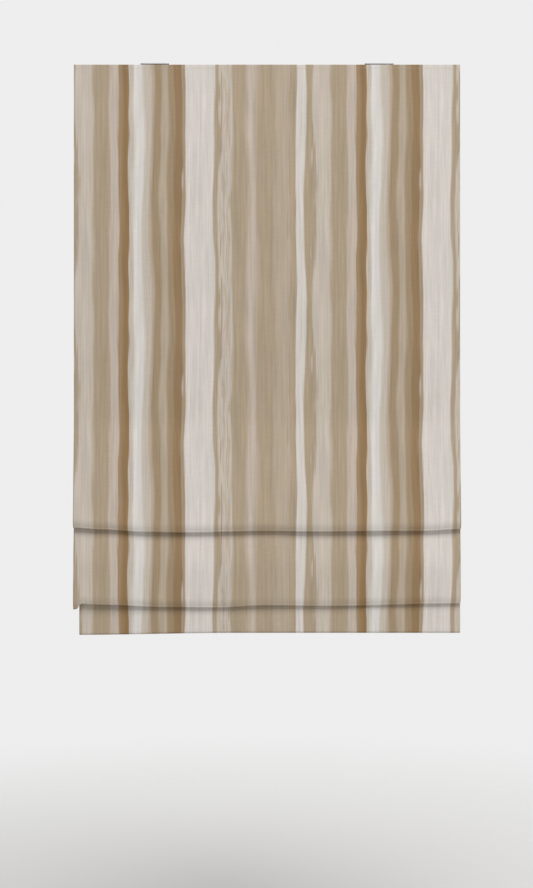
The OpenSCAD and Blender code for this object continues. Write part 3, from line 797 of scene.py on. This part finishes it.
def rodPocket(number):
    name, node = "rodPocket%d" % number, "rod_pocket_%d" % number
    low, high = boxMm(node)
    y, z = rodAt[number - 1][1:]
    radius = high[1] - y - pocket["thickness"] / 2
    path = [(y - radius, h) for h in np.linspace(low[2], z, pocket["flapRows"])]
    for a in np.radians(np.linspace(180, pocket["wrapEnd"], pocket["wrapRows"])[1:]):
        path.append((y + radius * math.cos(a), z + radius * math.sin(a)))
    path = np.array(path)
    x = np.linspace(low[0], high[0], pocket["columns"])[None, :]
    short, long = pocket["puckerLengths"]
    pucker = pocket["pucker"] * (np.sin(x / short) + np.sin(x / long + number))
    flap = np.where(np.arange(len(path)) < 2, 1.0, 0.0)[:, None]
    flat = x + 0 * flap
    middle = np.stack([flat, path[:, :1] + 0 * flat, path[:, 1:] + flap * pucker], -1)
    weave = np.stack([flat, lengthAlong(path)[:, None] + 0 * flat], -1)
    tape = closedSheet(name, middle, pocket["thickness"], {"weave": weave}, [materials["cottonTwillTape"]])
    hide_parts(node)
    seamAt = y - radius + pocket["thickness"] / 2 + seams["proud"]
    ends = low[0] + pocket["seamEnds"], high[0] - pocket["seamEnds"]
    seam = stitchRow(name + "Seam", [acrossLine(*ends, seamAt, low[2] + rise, pocket["seamPoints"])
                                     for rise in pocket["seamRises"]])
    rings, threads = ringRow("rings%d" % number, z, high[1])
    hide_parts("rings_%d" % number)
    for piece in (tape, seam, rings, threads):
        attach(piece, "rod_%d" % number)
    return [tape, seam, rings, threads]


pocketPieces = [piece for number in (1, 2, 3, 4) for piece in rodPocket(number)]
hemRings, hemThreads = ringRow("hemRings", middleMm("hem_rings")[2], pocketBackY)
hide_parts("hem_rings")
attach(hemRings, "bottom_bar")
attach(hemThreads, "bottom_bar")
print("pockets and rings made")

# Lift cords: straight drops through the rings, and their turns on the spools
cords = {
    "radius": 0.7,
    "corners": 8,
    "dropRows": 230,
    "pitch": 1.45,
    "turns": 6.25,
    "firstTurn": 0.12,
    "turnRows": 240,
    "aside": 1.7,
}
shaftY, shaftZ = middleMm("lift_shaft")[1:]
spoolReach = shaftY - cordY
turn = np.linspace(cords["firstTurn"], cords["turns"], cords["turnRows"])
for side, x in zip(sides, cordX):
    low, high = boxMm("lift_cord_" + side)
    path = [(x, cordY, z) for z in np.linspace(high[2], low[2], cords["dropRows"])]
    drop = tubePiece("liftCord" + side.title(), path, cords["radius"], cords["corners"],
                     materials["braidedPolyester"])
    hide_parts("lift_cord_" + side)
    blendWithLift(drop)
    coil = np.stack([x - cords["aside"] - cords["pitch"] * turn,
                     shaftY - spoolReach * np.cos(2 * math.pi * turn),
                     shaftZ + spoolReach * np.sin(2 * math.pi * turn)], -1)
    turns = tubePiece("cordTurns" + side.title(), coil, cords["radius"], cords["corners"],
                      materials["braidedPolyester"])
    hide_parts("cord_turns_" + side)
    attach(turns, "lift_shaft")
print("cords made")

# Hook and loop tapes between the channel and the cloth
tapes = {"hookTape": ("hook_tape", "hookNylon"), "loopTape": ("loop_tape", "loopPile")}
tapeColumns, tapeRows = 120, 12
for name, (node, finish) in tapes.items():
    low, high = boxMm(node)
    x, z = np.meshgrid(np.linspace(low[0], high[0], tapeColumns), np.linspace(high[2], low[2], tapeRows))
    middle = np.stack([x, np.full_like(x, (low[1] + high[1]) / 2), z], -1)
    strip = closedSheet(name, middle, high[1] - low[1], {"weave": np.stack([x, z], -1)}, [materials[finish]])
    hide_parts(node)
    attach(strip, "headrail")

print("tapes made")

# Hard pieces keep their CAD shape: finish, width of the softened edge in mm, nodes
hardPieces = [
    ("whitePowderCoat", 0.35, ["headrail_channel"]),
    ("whiteAcetal", 0.3, ["end_cap_left", "end_cap_right", "cradle_left", "cradle_centre", "cradle_right"]),
    ("whiteAcetal", 0.15, ["spool_left", "spool_centre", "spool_right", "spring_arbor", "cord_adjuster_left",
                           "cord_adjuster_centre", "cord_adjuster_right", "bar_cap_left", "bar_cap_right",
                           "rod_tips_1", "rod_tips_2", "rod_tips_3", "rod_tips_4"]),
    ("greyGlassFilledNylon", 0.3, ["spring_case", "spring_cover"]),
    ("zincPlatedSteel", 0.25, ["bracket_left", "bracket_right", "bracket_cam_left", "bracket_cam_right",
                               "bracket_rivet_left", "bracket_rivet_right"]),
    ("blueSpringSteel", 0.0, ["power_spring"]),
    ("extrudedAluminium", 0.2, ["lift_shaft", "bottom_bar"]),
    ("pultrudedFibreglass", 0.0, ["rod_1", "rod_2", "rod_3", "rod_4"]),
]
softening = {"weld": 0.01, "segments": 2, "angle": 50.0}  # mm, steps, degrees
for finish, width, names in hardPieces:
    for name in names:
        piece = nodes[name]
        piece.data.materials.clear()
        piece.data.materials.append(materials[finish])
        if width:
            piece.modifiers.new("weld", "WELD").merge_threshold = softening["weld"] * mm
            bevel = piece.modifiers.new("softEdges", "BEVEL")
            bevel.width, bevel.segments, bevel.limit_method = width * mm, softening["segments"], "ANGLE"
            bevel.angle_limit, bevel.use_clamp_overlap = math.radians(softening["angle"]), True
print("hard pieces finished")

# Stage: a pale floor, soft lights, and a pale world, brighter to the camera and in reflections than as light
stage = {
    "floorZ": -2.1,
    "floorReach": 3.4,
    "floorFade": (0.35, 0.98),  # shares of the reach between which the floor fades out
    "floorColour": "D0CFCD",
    "floorGrain": 60.0,
    "floorTone": 0.03,
    "worldColour": "F3F3F3",
    "worldLight": 0.30,
    "worldShown": 0.95,
}
lights = {  # place, aim, size in m, power in W
    "key": ((0.5, -4.7, 7.0), (0.0, 0.0, -0.6), 4.2, 800.0),
    "fill": ((2.2, -3.4, -0.6), (0.0, 0.0, -0.6), 2.6, 24.0),
    "rear": ((0.8, 3.0, 1.2), (0.0, 0.0, -0.6), 2.0, 55.0),
}


def paleFloor():  # fades out all round, so that no far edge shows
    made, shader, add = startMaterial("mattPaper", Roughness=0.9)
    spot = add("ShaderNodeTexCoord").outputs["Object"]
    grain = add(noiseTexture, {"Vector": spot, "Scale": stage["floorGrain"]})
    tone = swung(add, 1.0, grain, stage["floorTone"])
    reach, (solid, gone) = stage["floorReach"], stage["floorFade"]
    share = add(vectorMaths, (spot, (1 / reach, 1 / reach, 0.0)), operation="MULTIPLY")
    away = add(vectorMaths, (share,), operation="LENGTH").outputs["Value"]
    cover = add("ShaderNodeMapRange", (away, solid, gone, 1.0, 0.0), interpolation_type="SMOOTHSTEP")
    tinted = add(vectorMaths, {0: hexLinear(stage["floorColour"])[:3], "Scale": tone}, operation="SCALE")
    joinShader(made, shader, Base_Color=tinted, Alpha=cover)
    corners = [(x * 1000, y * 1000, stage["floorZ"] * 1000) for y in (-reach, reach) for x in (-reach, reach)]
    meshPiece("floor", corners, [(0, 1, 3, 2)], [made])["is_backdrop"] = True


paleFloor()
scene = bpy.context.scene
for name, (place, aim, size, power) in lights.items():
    data = bpy.data.lights.new(name, "AREA")
    data.shape, data.size, data.energy = "SQUARE", size, power
    lamp = bpy.data.objects.new(name, data)
    lamp.location = place
    lamp.rotation_euler = (Vector(aim) - Vector(place)).to_track_quat("-Z", "Y").to_euler()
    scene.collection.objects.link(lamp)
world = bpy.data.worlds.new("studio")
world.use_nodes = True
add = functools.partial(addNode, world.node_tree)
rays = add("ShaderNodeLightPath").outputs
mirrored = add(maths, (rays["Is Glossy Ray"], rays["Is Transmission Ray"]), operation="MAXIMUM")
seen = add(maths, (rays["Is Camera Ray"], mirrored), operation="MAXIMUM")
strength = add(maths, (seen, stage["worldShown"] - stage["worldLight"], stage["worldLight"]),
               operation="MULTIPLY_ADD")
background = world.node_tree.nodes["Background"]
background.inputs["Color"].default_value = hexLinear(stage["worldColour"])
world.node_tree.links.new(strength.outputs[0], background.inputs["Strength"])
scene.world = world
scene.view_settings.view_transform = "Standard"

# Camera as in the photo: straight on, a little below the middle of the shade
eye = {"distance": 2.5, "height": -0.763, "aside": -0.001, "lens": 50.3, "sensor": 36.0}
camera = bpy.data.objects.new("camera", bpy.data.cameras.new("camera"))
camera.data.lens, camera.data.sensor_width = eye["lens"], eye["sensor"]
camera.location = (eye["aside"], -eye["distance"], eye["height"])
camera.rotation_euler = (math.radians(90), 0, 0)
scene.collection.objects.link(camera)
scene.camera = camera

low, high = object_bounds()
print("stage made")
